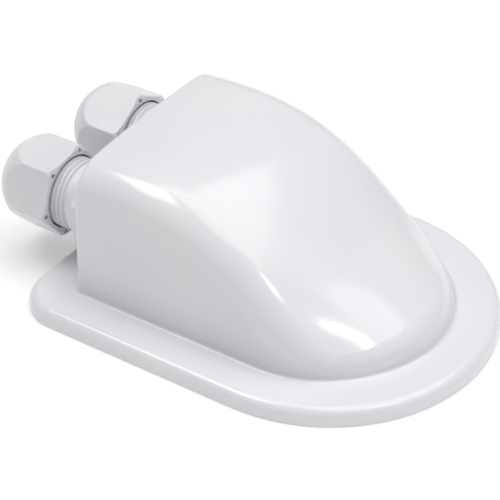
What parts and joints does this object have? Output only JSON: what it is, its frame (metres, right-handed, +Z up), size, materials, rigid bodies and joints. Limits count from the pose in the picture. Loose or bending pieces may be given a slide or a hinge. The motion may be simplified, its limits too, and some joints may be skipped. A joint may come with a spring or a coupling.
{
  "type": "twin cable entry housing",
  "caption": "Low rounded hood on a flat bonding flange, with a pair of cable glands side by side in its rear wall, for leading cables through a boat deck or a vehicle roof.",
  "frame": {"origin": "middle of the flange's outline, on the bonding face", "axes": "+X towards the rounded nose, away from the glands; +Z up from the bonding face; +Y to the left when looking towards the nose"},
  "size_m": [0.1397, 0.094, 0.0452],
  "materials": {
    "white_abs": "polished white ABS moulding",
    "white_nylon": "moulded white nylon, satin",
    "claw_nylon": "moulded natural nylon, satin",
    "seal_rubber": "light grey rubber, matt"
  },
  "bodies": {
    "housing": {"hood": "white_abs", "gland_body_left": "white_nylon", "wall_washer_left": "seal_rubber", "lock_nut_left": "white_nylon", "gland_body_right": "white_nylon", "wall_washer_right": "seal_rubber", "lock_nut_right": "white_nylon"},
    "clamp_left": {"claw_ring_left": "claw_nylon", "cable_seal_left": "seal_rubber"},
    "nut_left": {"dome_nut_left": "white_nylon"},
    "clamp_right": {"claw_ring_right": "claw_nylon", "cable_seal_right": "seal_rubber"},
    "nut_right": {"dome_nut_right": "white_nylon"}
  },
  "joints": [
    {"name": "clamp_travel_left", "type": "slide", "parent": "housing", "child": "clamp_left", "axis": [-1, 0, 0], "range_m": [-0.00752, 0.00302]},
    {"name": "nut_turn_left", "type": "hinge", "parent": "clamp_left", "child": "nut_left", "pos_m": [-0.04635, 0.0164, 0.022], "axis": [-1, 0, 0], "range_deg": [-1800, 720]},
    {"name": "clamp_travel_right", "type": "slide", "parent": "housing", "child": "clamp_right", "axis": [-1, 0, 0], "range_m": [-0.00752, 0.00302]},
    {"name": "nut_turn_right", "type": "hinge", "parent": "clamp_right", "child": "nut_right", "pos_m": [-0.04635, -0.0164, 0.022], "axis": [-1, 0, 0], "range_deg": [-1800, 720]}
  ],
  "couplings": [
    {"joint": "clamp_travel_left", "follows": "nut_turn_left", "m_per_rad": 0.00023873},
    {"joint": "clamp_travel_right", "follows": "nut_turn_right", "m_per_rad": 0.00023873}
  ]
}
